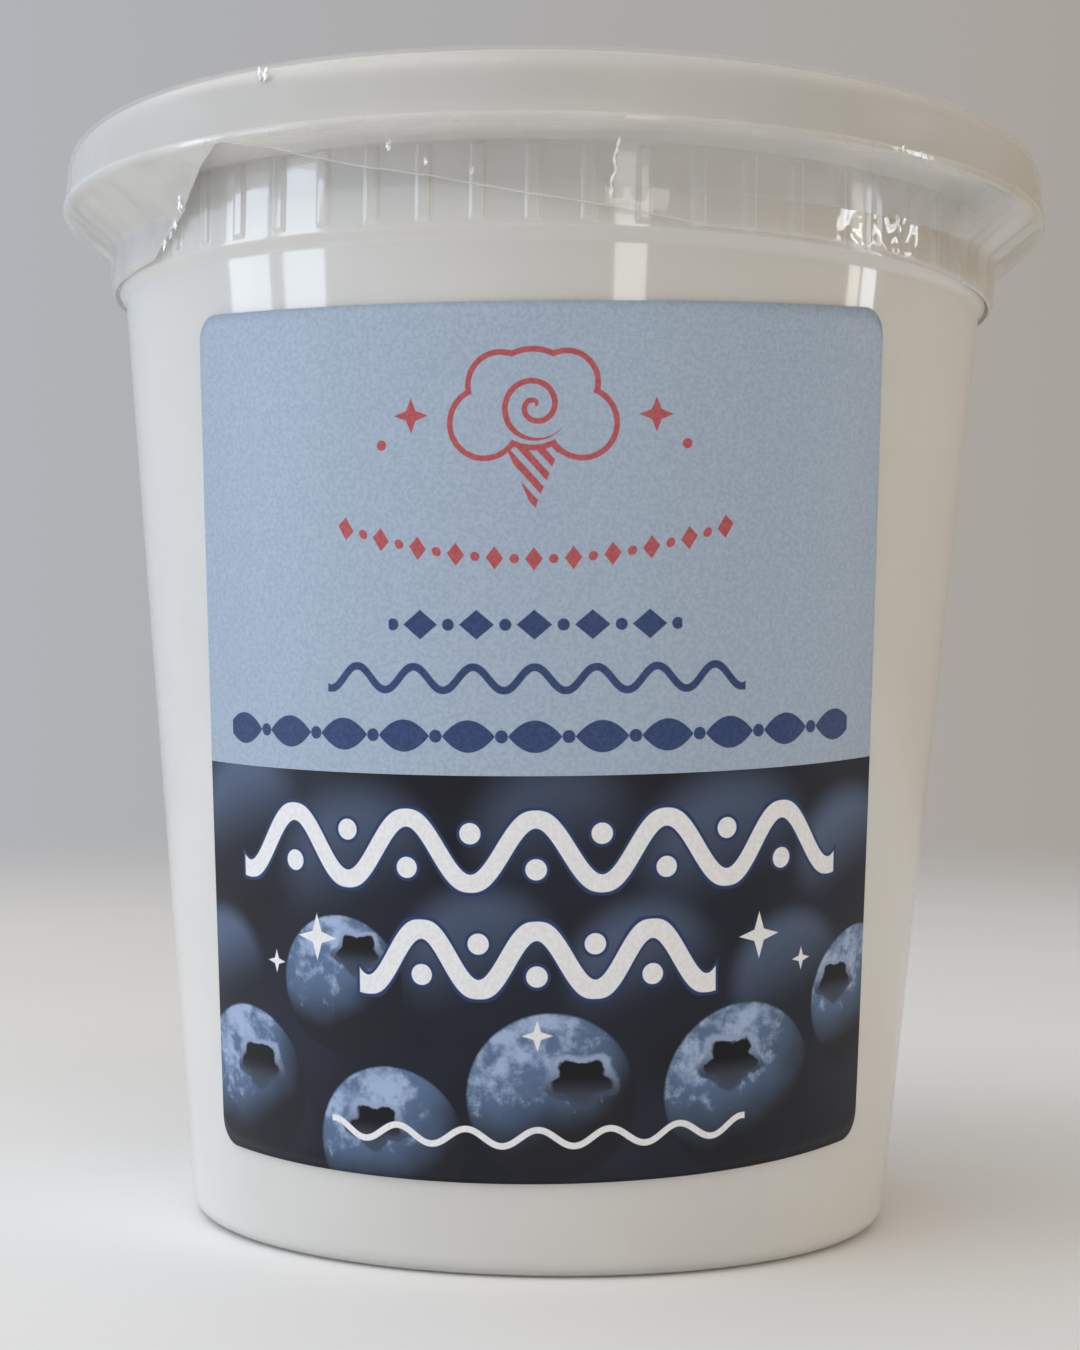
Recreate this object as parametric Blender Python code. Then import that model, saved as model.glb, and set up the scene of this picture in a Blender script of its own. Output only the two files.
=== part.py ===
"""A shut plastic tub of white cotton candy, with a snap-on lid, a clear shrink band and a paper label.

Lengths are in millimetres here and become metres in place(). The origin is at the middle of the
foot, +Z is up and the label faces -Y. An azimuth is an angle about +Z, from the front towards +X.
"""

import math

import bmesh
import bpy

MM = 0.001
GAP = 0.3

# The tub: a tapered wall on a foot ring, a ledge, a ribbed neck and a thick rim
COLUMNS = 60
COLUMN_PHASE = 0.95
BASE_RADIUS = 42.93
TAPER = 0.0952
WALL = 0.7
FOOT_CORNER = 2.8
FOOT_RING = 2.7
FOOT_RECESS = 0.9
LEDGE_HEIGHT = 111.9
NECK_RADIUS = 54.45
NECK_BOTTOM = 113.0
RIB_BOTTOM = 113.7
RIB_TOP = 120.7
RIB_WIDTH = 1.6
RIB_DEPTH = 0.35
COLLAR_BOTTOM = 121.2
COLLAR_OUTER = 58.9
COLLAR_INNER = 57.8
TUB_HEIGHT = 129.3
RIM_EDGE = 0.6

# The lid: a rounded rim that hooks over the tub's, round a recessed panel
LID_TOP = 130.5
LID_ROUND = 3.0
LID_ROUND_CENTRE = 57.5
LID_WALL = 0.8
LID_LIP_RADIUS = 61.0
LID_LIP_BOTTOM = 121.7
LID_LIP_HEIGHT = 1.8
LID_PLUG_RADIUS = 57.4
LID_PANEL_TOP = 125.9
LID_BEAD_RADIUS = 49.0
LID_BEAD_WIDTH = 3.2
LID_BEAD_HEIGHT = 1.0

# The clear band: shrunk over the lid's rim and the neck, with an uneven lower edge
BAND_COLUMNS = 72
BAND_THICKNESS = 0.3
BAND_FOLD_RADIUS = 54.0
BAND_FOLD_SAG = 0.2
BAND_BRIDGE_BOTTOM = 117.5
BAND_NECK_RADIUS = 55.4
BAND_STEP = 0.15
BAND_EDGE = [(-180, 112.6), (-140, 112.9), (-100, 112.9), (-64, 113.2), (-53, 114.0), (-45, 119.0),
             (-36, 121.0), (-30, 120.9), (-15, 118.1), (-3, 116.0), (16, 113.5), (40, 113.3),
             (60, 112.7), (100, 112.7), (140, 113.1), (180, 112.6)]

# The label: a flat sheet with round corners, wrapped round the taper and a little askew
LABEL_WIDTH = 85.4
LABEL_HEIGHT = 94.9
LABEL_CORNER = 3.0
LABEL_THICKNESS = 0.3
LABEL_CENTRE = 57.9
LABEL_AZIMUTH = -1.25
LABEL_TILT = 1.16
LABEL_COLUMNS = 20
LABEL_CORNER_COLUMNS = 3
LABEL_ROWS = 6

# The cotton candy: pressed against the wall, with a loose tufted top
CANDY_SHOULDER = 119.0
CANDY_CROWN = 122.3
TUFT_HEIGHT = 1.1
CANDY_RINGS = (1.0, 0.97, 0.86, 0.7, 0.52, 0.34, 0.17)
CANDY_WALL_ROWS = 3


def clear_scene():
    for obj in list(bpy.data.objects):
        bpy.data.objects.remove(obj, do_unlink=True)


def place(radius, height, azimuth):
    """The point in metres at this radius, height and azimuth in degrees."""
    angle = math.radians(azimuth)
    return (radius * math.sin(angle) * MM, -radius * math.cos(angle) * MM, height * MM)


def arc(centre_radius, centre_height, radius, start, end, steps):
    """Profile points on an arc, from the start angle to the end angle in degrees."""
    angles = [math.radians(start + (end - start) * k / steps) for k in range(steps + 1)]
    return [(centre_radius + radius * math.cos(a), centre_height + radius * math.sin(a)) for a in angles]


def wall_radius(height):
    return BASE_RADIUS + TAPER * height


def turned_rows(profile, columns, phase=0.0):
    """One ring of points for each profile point."""
    pitch = 360 / columns
    return [[place(radius, height, phase + pitch * k) for k in range(columns)] for radius, height in profile]


def loft(rows, closed=False):
    """A mesh through the rings of points, closed on itself or capped at both ends."""
    bm = bmesh.new()
    rings = [[bm.verts.new(point) for point in row] for row in rows]
    following = rings[1:] + ([rings[0]] if closed else [])
    for ring, after in zip(rings, following):
        for k in range(len(ring)):
            j = (k + 1) % len(ring)
            bm.faces.new((ring[k], ring[j], after[j], after[k]))
    if not closed:
        for ring in (rings[0], rings[-1]):
            height = sum(vert.co.z for vert in ring) / len(ring)
            centre = bm.verts.new((0, 0, height))
            for k in range(len(ring)):
                bm.faces.new((ring[k - 1], ring[k], centre))
    return bm


def add_object(name, bm, material):
    """The mesh as an object with its faces pointing out, smooth except at its sharp edges."""
    bmesh.ops.recalc_face_normals(bm, faces=bm.faces)
    mesh = bpy.data.meshes.new(name)
    bm.to_mesh(mesh)
    bm.free()
    mesh.shade_smooth()
    mesh.set_sharp_from_angle(angle=math.radians(35))
    mesh.materials.append(material)
    obj = bpy.data.objects.new(name, mesh)
    bpy.context.scene.collection.objects.link(obj)
    return obj


def make_material(name, colour, roughness, alpha=1.0):
    material = bpy.data.materials.new(name)
    material.use_nodes = True
    shader = material.node_tree.nodes["Principled BSDF"]
    shader.inputs["Base Color"].default_value = (*colour, 1)
    shader.inputs["Roughness"].default_value = roughness
    shader.inputs["Metallic"].default_value = 0.0
    shader.inputs["Alpha"].default_value = alpha
    return material


def tub_profile():
    """From the middle of the foot, up the outside, over the rim and down the inside."""
    corner_centre = wall_radius(FOOT_CORNER) - FOOT_CORNER
    ring_inside = corner_centre - FOOT_RING
    neck_inside = NECK_RADIUS - WALL
    outside = [
        (ring_inside - FOOT_RECESS, FOOT_RECESS),
        (ring_inside, 0),
        *arc(corner_centre, FOOT_CORNER, FOOT_CORNER, -90, -5, 4),
        (wall_radius(LEDGE_HEIGHT), LEDGE_HEIGHT),
        (NECK_RADIUS, NECK_BOTTOM),
        (NECK_RADIUS, RIB_BOTTOM),
        (NECK_RADIUS, RIB_TOP),
        (NECK_RADIUS, COLLAR_BOTTOM),
        (COLLAR_OUTER - RIM_EDGE, COLLAR_BOTTOM + WALL),
        (COLLAR_OUTER, COLLAR_BOTTOM + WALL + RIM_EDGE),
        (COLLAR_OUTER, TUB_HEIGHT - RIM_EDGE),
        ((COLLAR_OUTER + COLLAR_INNER) / 2, TUB_HEIGHT),
        (COLLAR_INNER, TUB_HEIGHT - RIM_EDGE),
    ]
    inside = [
        (COLLAR_INNER, COLLAR_BOTTOM + 2 * WALL + RIM_EDGE),
        (neck_inside, COLLAR_BOTTOM + WALL),
        (neck_inside, NECK_BOTTOM + WALL / 2),
        (wall_radius(LEDGE_HEIGHT) - WALL, LEDGE_HEIGHT + WALL / 2),
        *arc(corner_centre, FOOT_CORNER, FOOT_CORNER - WALL, -5, -90, 3),
        (ring_inside, WALL),
        (ring_inside - FOOT_RECESS, FOOT_RECESS + WALL),
    ]
    return outside + inside


def raise_ribs(bm):
    """Cut a strip out of the middle of each outer facet of the neck and lift it."""
    pitch = 360 / COLUMNS
    half_angle = math.degrees(RIB_WIDTH / 2 / NECK_RADIUS)

    def neck_faces():
        faces = []
        for face in bm.faces:
            middle = face.calc_center_median() / MM
            if RIB_BOTTOM < middle.z < RIB_TOP and middle.xy.length > NECK_RADIUS - WALL / 2:
                faces.append(face)
        return faces

    def in_rib(face):
        middle = face.calc_center_median()
        azimuth = math.degrees(math.atan2(middle.x, -middle.y))
        return abs((azimuth - COLUMN_PHASE) % pitch - pitch / 2) < half_angle

    for rib in range(COLUMNS // 2):
        middle = COLUMN_PHASE + (rib + 0.5) * pitch
        for azimuth in (middle - half_angle, middle + half_angle):
            angle = math.radians(azimuth)
            faces = neck_faces()
            edges = {edge for face in faces for edge in face.edges}
            verts = {vert for face in faces for vert in face.verts}
            bmesh.ops.bisect_plane(bm, geom=[*verts, *edges, *faces], dist=MM * MM,
                                   plane_co=(0, 0, 0), plane_no=(math.cos(angle), math.sin(angle), 0))
    strips = [face for face in neck_faces() if in_rib(face)]
    for face in bmesh.ops.extrude_discrete_faces(bm, faces=strips)["faces"]:
        outward = face.calc_center_median()
        outward.z = 0
        bmesh.ops.translate(bm, verts=face.verts, vec=outward.normalized() * RIB_DEPTH * MM)


def make_tub():
    bm = loft(turned_rows(tub_profile(), COLUMNS, COLUMN_PHASE))
    raise_ribs(bm)
    add_object("tub", bm, make_material("clear_plastic", (0.80, 0.79, 0.76), 0.18, 0.45))


def bead(radius, width, height, base):
    """The profile of a ring that stands up from a flat panel, from its inner side to its outer one."""
    slope = height * 0.9
    return [
        (radius - width / 2 - slope, base),
        (radius - width / 2, base + height),
        (radius + width / 2, base + height),
        (radius + width / 2 + slope, base),
    ]


def make_lid():
    panel_bottom = LID_PANEL_TOP - LID_WALL
    plug_inside = LID_PLUG_RADIUS - LID_WALL
    skirt_radius = LID_ROUND_CENTRE + LID_ROUND
    top_side = [
        *bead(LID_BEAD_RADIUS, LID_BEAD_WIDTH, LID_BEAD_HEIGHT, LID_PANEL_TOP),
        (plug_inside - LID_WALL, LID_PANEL_TOP),
        (plug_inside, LID_PANEL_TOP + LID_WALL),
        (plug_inside, LID_TOP - LID_WALL),
        *arc(LID_ROUND_CENTRE, LID_TOP - LID_ROUND, LID_ROUND, 90, 6, 3),
        (LID_LIP_RADIUS, LID_LIP_BOTTOM + LID_LIP_HEIGHT),
        (LID_LIP_RADIUS, LID_LIP_BOTTOM + GAP),
        (LID_LIP_RADIUS - GAP, LID_LIP_BOTTOM),
    ]
    underside = [
        (LID_LIP_RADIUS - LID_WALL, LID_LIP_BOTTOM + GAP),
        (skirt_radius - LID_WALL, LID_LIP_BOTTOM + 2 * LID_WALL),
        *arc(LID_ROUND_CENTRE, LID_TOP - LID_ROUND, LID_ROUND - LID_WALL, 6, 90, 3),
        (LID_PLUG_RADIUS, LID_PANEL_TOP),
        (plug_inside, panel_bottom),
        *reversed(bead(LID_BEAD_RADIUS, LID_BEAD_WIDTH - LID_WALL, LID_BEAD_HEIGHT, panel_bottom)),
    ]
    bm = loft(turned_rows(top_side + underside, COLUMNS, COLUMN_PHASE))
    add_object("lid", bm, make_material("lid_plastic", (0.78, 0.77, 0.74), 0.25, 0.45))


def eased(points, at):
    """The value at a place between the points, with a smooth step from one to the next."""
    for (left, low), (right, high) in zip(points, points[1:]):
        if at <= right:
            share = (at - left) / (right - left)
            return low + (high - low) * share * share * (3 - 2 * share)
    return points[-1][1]


def band_column(azimuth, lift):
    """The band's profile at an azimuth, from its fold on the lid to its lower edge."""
    over = GAP + lift
    rim = arc(LID_ROUND_CENTRE, LID_TOP - LID_ROUND, LID_ROUND + over, 90, 6, 3)
    neck = BAND_NECK_RADIUS - BAND_THICKNESS + lift
    ledge = wall_radius(LEDGE_HEIGHT) + over
    below_lip = [
        (LID_LIP_RADIUS + over, LID_LIP_BOTTOM + GAP),
        (LID_LIP_RADIUS + over - GAP, LID_LIP_BOTTOM - over),
        (neck, BAND_BRIDGE_BOTTOM),
        (neck, NECK_BOTTOM + GAP),
        (ledge, LEDGE_HEIGHT),
    ]
    edge = eased(BAND_EDGE, azimuth)
    rows = []
    for k, (radius, height) in enumerate(below_lip):
        lowest = edge + BAND_STEP * (len(below_lip) - 1 - k)
        if height < lowest:
            height = lowest
            radius = profile_radius(below_lip, height)
        rows.append((radius, height))
    return [
        (BAND_FOLD_RADIUS, LID_TOP + over - BAND_FOLD_SAG),
        *rim,
        (LID_LIP_RADIUS + over, LID_LIP_BOTTOM + LID_LIP_HEIGHT),
        *rows,
    ]


def profile_radius(profile, height):
    """The radius of a profile that runs downwards, at a height on it."""
    for (above, top), (below, bottom) in zip(profile, profile[1:]):
        if height >= bottom:
            return below + (above - below) * (height - bottom) / (top - bottom)
    return profile[-1][0]


def make_band():
    azimuths = [360 * k / BAND_COLUMNS - 180 for k in range(BAND_COLUMNS)]
    outer = [band_column(azimuth, BAND_THICKNESS) for azimuth in azimuths]
    inner = [band_column(azimuth, 0) for azimuth in azimuths]
    rows = []
    for columns in (outer, [column[::-1] for column in inner]):
        for k in range(len(columns[0])):
            rows.append([place(*column[k], azimuth) for column, azimuth in zip(columns, azimuths)])
    bm = loft(rows, closed=True)
    add_object("shrink_band", bm, make_material("clear_film", (0.85, 0.86, 0.87), 0.08, 0.2))


def on_wall(across, up, lift):
    """Where a point of the flat label lies once the sheet is wrapped round the tub's taper."""
    steepness = math.sin(math.atan(TAPER))
    tilt = math.radians(LABEL_TILT)
    sideways = across * math.cos(tilt) - up * math.sin(tilt)
    from_apex = wall_radius(LABEL_CENTRE) / steepness + across * math.sin(tilt) + up * math.cos(tilt)
    radius = math.hypot(sideways, from_apex) * steepness
    azimuth = math.degrees(math.atan2(sideways, from_apex) / steepness)
    return place(radius + lift, (radius - BASE_RADIUS) / TAPER, azimuth + LABEL_AZIMUTH)


def label_columns():
    """Each column of the label: its place across the sheet and half its height there."""
    straight = LABEL_WIDTH / 2 - LABEL_CORNER
    columns = [(straight * (2 * k / LABEL_COLUMNS - 1), LABEL_HEIGHT / 2) for k in range(LABEL_COLUMNS + 1)]
    for k in range(1, LABEL_CORNER_COLUMNS + 1):
        angle = math.pi / 2 * k / LABEL_CORNER_COLUMNS
        across = straight + LABEL_CORNER * math.sin(angle)
        half_height = LABEL_HEIGHT / 2 - LABEL_CORNER * (1 - math.cos(angle))
        columns = [(-across, half_height), *columns, (across, half_height)]
    return columns


def make_label():
    columns = label_columns()
    bm = bmesh.new()
    sheets = []
    for lift in (GAP, GAP + LABEL_THICKNESS):
        sheet = []
        for across, half_height in columns:
            heights = [half_height * (2 * k / LABEL_ROWS - 1) for k in range(LABEL_ROWS + 1)]
            sheet.append([bm.verts.new(on_wall(across, up, lift)) for up in heights])
        sheets.append(sheet)
    outlines = []
    for sheet in sheets:
        for left, right in zip(sheet, sheet[1:]):
            for k in range(LABEL_ROWS):
                bm.faces.new((left[k], right[k], right[k + 1], left[k + 1]))
        bottom = [column[0] for column in sheet]
        top = [column[-1] for column in sheet]
        outlines.append(bottom + sheet[-1][1:-1] + top[::-1] + sheet[0][1:-1][::-1])
    back, front = outlines
    for k in range(len(back)):
        bm.faces.new((back[k - 1], back[k], front[k], front[k - 1]))
    add_object("label", bm, make_material("label_paper", (0.30, 0.38, 0.48), 0.35))


def tuft(radius, azimuth):
    """The height of the loose tufts on top of the candy."""
    angle = math.radians(azimuth)
    waves = math.sin(3 * angle + radius / 6) + math.sin(5 * angle - radius / 4) + math.cos(radius / 5)
    return TUFT_HEIGHT * waves / 2


def make_candy():
    corner_centre = wall_radius(FOOT_CORNER) - FOOT_CORNER
    inset = WALL + GAP
    floor = FOOT_RECESS + WALL + GAP
    ledge = wall_radius(LEDGE_HEIGHT) - inset
    lower = wall_radius(FOOT_CORNER) - inset
    wall_rows = [(lower + (ledge - lower) * k / CANDY_WALL_ROWS,
                  FOOT_CORNER + (LEDGE_HEIGHT - FOOT_CORNER) * k / CANDY_WALL_ROWS)
                 for k in range(CANDY_WALL_ROWS + 1)]
    shoulder = NECK_RADIUS - inset
    profile = [
        (corner_centre - FOOT_RING - FOOT_RECESS, floor),
        (corner_centre, floor),
        *wall_rows,
        (shoulder, NECK_BOTTOM + inset),
        (shoulder, CANDY_SHOULDER),
    ]
    rows = turned_rows(profile, COLUMNS, COLUMN_PHASE)
    pitch = 360 / COLUMNS
    for share in CANDY_RINGS[1:]:
        radius = shoulder * share
        crown = CANDY_SHOULDER + (CANDY_CROWN - CANDY_SHOULDER) * math.cos(share * math.pi / 2)
        azimuths = [COLUMN_PHASE + pitch * k for k in range(COLUMNS)]
        rows.append([place(radius, crown + tuft(radius, azimuth), azimuth) for azimuth in azimuths])
    add_object("cotton_candy", loft(rows), make_material("spun_sugar", (0.80, 0.79, 0.76), 0.85))


clear_scene()
make_tub()
make_lid()
make_band()
make_label()
make_candy()
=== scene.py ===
"""The looks of a shut tub of cotton candy.

A clear tub with a hazy lid, crinkled film round its rim and a printed label holds white spun sugar.
Lengths are in millimetres and become metres in place(). An azimuth is an angle about +Z in degrees,
from the front (-Y) towards +X.
"""

import math

import bmesh
import bpy
from mathutils import Matrix, Vector, noise


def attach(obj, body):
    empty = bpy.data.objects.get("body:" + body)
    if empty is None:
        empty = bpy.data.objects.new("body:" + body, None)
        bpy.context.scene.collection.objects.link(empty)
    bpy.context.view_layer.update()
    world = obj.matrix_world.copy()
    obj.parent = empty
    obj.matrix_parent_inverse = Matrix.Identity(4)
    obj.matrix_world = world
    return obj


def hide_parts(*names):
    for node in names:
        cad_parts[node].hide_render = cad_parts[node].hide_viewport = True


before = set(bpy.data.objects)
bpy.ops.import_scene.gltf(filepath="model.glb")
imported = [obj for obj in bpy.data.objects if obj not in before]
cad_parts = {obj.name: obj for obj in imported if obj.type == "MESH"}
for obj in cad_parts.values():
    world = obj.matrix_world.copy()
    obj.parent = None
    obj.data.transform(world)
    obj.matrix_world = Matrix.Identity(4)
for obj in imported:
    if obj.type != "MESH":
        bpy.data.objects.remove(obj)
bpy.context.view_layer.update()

MM = 0.001

# The camera that the photograph's outline, ledge and label edges give
CAMERA_DISTANCE = 306.57
CAMERA_HEIGHT = 58.97
CAMERA_PITCH = 0.02615
CAMERA_YAW = -0.00265
CAMERA_ROLL = 0.0159
FOCAL_PIXELS = 2410.7
PHOTO_HEIGHT = 1350
SENSOR = 36

# The tub
BASE_RADIUS = 42.93
TAPER = 0.0952
WALL = 0.7
FOOT_CORNER = 2.8
FOOT_RING = 2.7
FOOT_RECESS = 0.9
WALL_LEAN = 5.4
LEDGE_HEIGHT = 111.9
NECK_RADIUS = 54.45
NECK_BOTTOM = 113.0
RIB_COUNT = 58
RIB_CENTRE = 3.93
RIB_BOTTOM = 113.7
RIB_TOP = 121.6
RIB_DEPTH = 0.35
RIB_OFFSETS = (-3.0, -1.7, -1.1, -0.92, -0.8, -0.66, -0.4, 0.4, 0.66, 0.8, 0.92, 1.1, 1.7)
RIB_FLANK = (0.66, 0.92)
RIB_MIDDLE = 117
# How a rib rises at each end: distance inwards and share of its relief
RIB_END = ((-0.05, 0.35), (0.15, 0.9), (0.4, 1))
COLLAR_BOTTOM = 122.1
COLLAR_OUTER = 59.5
COLLAR_INNER = 57.8
TUB_HEIGHT = 129.3

# The lid
LID_TOP = 130.5
LID_ROUND = 3.0
LID_ROUND_CENTRE = 57.5
LID_WALL = 0.8
LID_LIP_RADIUS = 61.0
LID_LIP_BOTTOM = 122.4
LID_LIP_HEIGHT = 1.1
LID_PLUG_RADIUS = 57.4
LID_PANEL_TOP = 125.9
LID_BEAD_RADIUS = 49.0
LID_BEAD_WIDTH = 3.2
LID_BEAD_HEIGHT = 1.0
LID_MIDDLE_RADIUS = 30
LID_COLUMNS = 288
# The lid's skirt below its round rim: how far it flares and at what height
LID_SKIRT = ((0.05, 126.6), (0.12, 125.2), (0.25, 124.2))

# The film
FILM_COLUMNS = 720
FILM_THICKNESS = 0.12
FILM_LIFT = 0.4
FILM_FOLD_RADIUS = 54.0
FILM_FOLD_SAG = 0.25
FILM_BRIDGE_BOTTOM = 117.5
FILM_NECK_RADIUS = 55.3
FILM_HAZE = 0.42
FILM_FRONT_HAZE = 0.17
FILM_SIDE_HAZE = 0.55
FILM_THIN_HAZE = 0.05
FILM_EDGE_HAZE = 0.3
# The film's gloss seen straight on, where it hangs loose and where it is drawn tight
FILM_GLOSS = (0.02, 0.07)
FILM_EDGE_BEAD = 0.06
FILM_TOP_ROWS = 22
FILM_BOTTOM_ROWS = 36
# What a point on the lid is said to be from the lower edge, in millimetres
FILM_FAR = 12.0
# The film's lower edge: azimuth and height
FILM_EDGE = [
    (-180, 112.6), (-140, 112.9), (-100, 112.9), (-66, 112.9), (-56, 113.2), (-52, 115.3), (-49.4, 117.2),
    (-45, 118.9), (-40, 120.9), (-36, 122.45), (-31, 121.4), (-23, 119.4), (-14, 118.0), (-3, 116.0),
    (9, 114.4), (17, 113.4), (40, 113.3), (60, 112.7), (100, 112.7), (140, 113.1), (180, 112.6),
]
# The angle over which the edge's corners are blended
FILM_EDGE_BLEND = 0.6
# Zones of the film, each as the places where it starts, is full, begins to fade and ends
LOOSE_HEIGHTS = (113, 117, 121.3, 122.3)
CRUSHED_AZIMUTHS = (32, 36, 44, 49)
CRUSHED_HEIGHTS = (112, 113, 121.2, 122.2)
CREASED_AZIMUTHS = (-62, -54, -40, -36)
# Heights between which the crushed zone grows calmer, and distances from the edge over which creases do
CRUSHED_CALMING = (114.8, 116.6)
CREASED_CALMING = (0.8, 3.5)
# Azimuths over which the film that drapes at the left ends
DRAPE_END = (-35, -39)
# Small puckers in the film: azimuth, height and radius
PUCKERS = [
    (-53, 114.6, 0.55), (-51.6, 115.4, 0.4), (-50.6, 116.5, 0.5), (-48.2, 118.2, 0.7), (-47.2, 118.8, 0.45),
    (-31.4, 129.3, 0.45), (-30.6, 129.0, 0.5), (-17, 120.6, 0.4), (-13.6, 119.2, 0.28), (-8.8, 118.3, 0.3),
    (37.6, 122.9, 0.32), (39.2, 122.9, 0.25), (40.4, 122.8, 0.3), (41.4, 122.8, 0.25),
    (43.6, 117.0, 0.5), (44.6, 117.3, 0.45), (44.1, 116.3, 0.35),
]
# The wavy crease in the film's front: azimuth and heights of its ends, and its half width
CREASE_AZIMUTH = 6.2
CREASE_ENDS = (115.2, 121.2)
CREASE_WIDTH = 0.16
CREASE_STEPS = 60
CREASE_SIDES = 8

# The label
LABEL_WIDTH = 85.4
LABEL_HEIGHT = 94.9
LABEL_CORNER = 3.0
LABEL_LIFT = 0.12
LABEL_THICKNESS = 0.16
LABEL_CENTRE = 57.9
LABEL_AZIMUTH = -1.25
LABEL_TILT = 1.16
LABEL_COLUMNS = 96
PAPER_ROWS = 32
PICTURE_ROWS = 28
CORNER_COLUMNS = 8

# The label's print, in millimetres across and up from the middle of the sheet
INK_BLUR = 0.06
PAPER_DARK = (0.345, 0.425, 0.535, 1)
PAPER_LIGHT = (0.405, 0.49, 0.6, 1)
CORAL_DARK = (0.42, 0.085, 0.095, 1)
CORAL_LIGHT = (0.49, 0.11, 0.12, 1)
NAVY_DARK = (0.03, 0.055, 0.15, 1)
NAVY_LIGHT = (0.042, 0.072, 0.185, 1)
RIM_BLUE = (0.02, 0.045, 0.14, 1)
ICON_STROKE = 0.62
PUFF_LOBES = [
    ((0, 37.2), 5.2), ((-5.2, 34.6), 3.7), ((5.2, 34.6), 3.7), ((-3.4, 38.6), 3.5), ((3.6, 38.9), 3.3),
]
CURL_CENTRE = (0.2, 36.4)
CURL_PITCH = 2.1
CURL_RADIUS = 3.7
CONE_TOP = 32.6
CONE_DEPTH = 7.4
CONE_HALF_WIDTH = 3.1
CONE_STRIPE = 1.9
STAR_OUT = 13.2
STAR_UP = 35.5
STAR_ARM = 1.9
STAR_WAIST = 0.75
SWAG_HEIGHT = 20.2
SWAG_CURVE = 0.0075
SWAG_PITCH = 4.2
SWAG_HALF_LENGTH = 22.0
FIELD_TOP = -3.03
# The navy rows: height and pitch of the diamonds and of the leaves, and the wavy line between them
DIAMOND_ROW = (13.2, 6.2)
LEAF_ROW = (1.2, 7.2)
NAVY_WAVE = (7.4, 1.25, 6.6, 7)
NAVY_WAVE_WIDTH = 0.84
# Each ribbon: middle, amplitude, period, number of waves, width, bead's radius and blue rim
RIBBONS = [
    (-11.2, 3.5, 14.2, 5, 1.95, 1.15, 0.35),
    (-23.0, 3.2, 12.6, 3, 2.1, 1.15, 0.35),
    (-42.4, 0.9, 7.8, 6, 0.7, 0, 0),
]
# How far the beads lie from a ribbon's middle, as a share of its amplitude
BEAD_DROP = 0.55
# Each sparkle, on both sides: distance out, height and size
SPARKLES = [(25.5, -21.5, 2.6), (31.5, -24.8, 1.3), (0, -31.2, 1.7)]
SPARKLE_WAIST = 0.32
# Each far berry: centre, radius, softness and lightness
FAR_BERRIES = [
    ((-36, -9), 8.0, 0.3, 0.55), ((-20, -14), 9.0, 0.35, 0.4), ((2, -10), 8.0, 0.4, 0.3),
    ((22, -13), 9.5, 0.35, 0.45), ((39, -14), 7.5, 0.3, 0.6), ((-6, -24), 8.5, 0.28, 0.4),
    ((12, -25), 8.0, 0.28, 0.45), ((-41, -27), 7.0, 0.2, 0.6), ((30, -27), 7.5, 0.22, 0.5),
]
# Each near berry: centre, radius, crown's centre and crown's size as shares of the radius
NEAR_BERRIES = [
    ((-22.5, -26.5), 7.6, (0.3, 0.5), 0.36), ((41.5, -30.5), 8.2, (-0.5, 0.3), 0.34),
    ((-36.5, -39.5), 9.0, (0.2, 0.3), 0.36), ((23.5, -38.5), 9.6, (-0.15, 0.35), 0.36),
    ((1.5, -38.0), 9.2, (0.35, 0.2), 0.37), ((-16.5, -43.8), 8.6, (-0.2, 0.25), 0.36),
]
BERRY_LIGHT = (-0.35, 0.78, 0.45)

# The picture's colours, dark and light
PRINTED_WHITES = ((0.79, 0.79, 0.8, 1), (0.86, 0.86, 0.87, 1))
SHADOWS = ((0.0075, 0.008, 0.013, 1), (0.016, 0.02, 0.036, 1))
FAR_BERRY_BLUES = ((0.012, 0.015, 0.026, 1), (0.14, 0.2, 0.34, 1))
BERRY_SKINS = ((0.012, 0.013, 0.019, 1), (0.1, 0.16, 0.28, 1))
BERRY_DUST = (0.36, 0.46, 0.66, 1)
CROWN_RIMS = ((0.05, 0.07, 0.12, 1), (0.3, 0.38, 0.55, 1))
CROWN_HOLLOWS = ((0.004, 0.004, 0.006, 1), (0.05, 0.06, 0.09, 1))

# The cotton candy
SUGAR_WHITES = ((0.795, 0.785, 0.755, 1), (0.865, 0.855, 0.83, 1))
CANDY_REACH = 0.3
CANDY_SHOULDER = 118.5
CANDY_CROWN = 122.2
CANDY_COLUMNS = 360
CANDY_RINGS = 40

# The studio, in metres
FLOOR_RADIUS = 1.3
FLOOR_FADE = 0.35
FLOOR_WHITES = ((0.86, 0.86, 0.855, 1), (0.89, 0.89, 0.885, 1))
LIT_POINT = (0, 0, 0.07)
COOL = (0.84, 0.94, 1.05)
NEUTRAL = (1.0, 0.975, 0.935)
# Each lamp: name, azimuths and elevations that it spans, distance, brightness and colour
PANELS = [
    ("window_left_near", (-70, -57.6), (-4, 18), 0.8, 3.3, COOL),
    ("window_left_far", (-88.3, -74.6), (-4, 18), 0.8, 3.3, COOL),
    ("window_right", (82.6, 88.2), (-4, 18), 0.8, 5.1, COOL),
    ("window_right_edge", (78.4, 81.8), (-4, 18), 0.8, 3.8, NEUTRAL),
    ("strip_front", (14.7, 22.6), (-4, 20), 0.8, 2.9, NEUTRAL),
    ("soft_front", (-60, 20), (35, 75), 1.0, 0.95, NEUTRAL),
    ("high_left", (-120, -50), (45, 80), 1.0, 1.0, NEUTRAL),
]
SKY_LEFT = (0.515, 0.6, 0.735, 1)
SKY_RIGHT = (0.315, 0.212, 0.07, 1)


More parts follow.
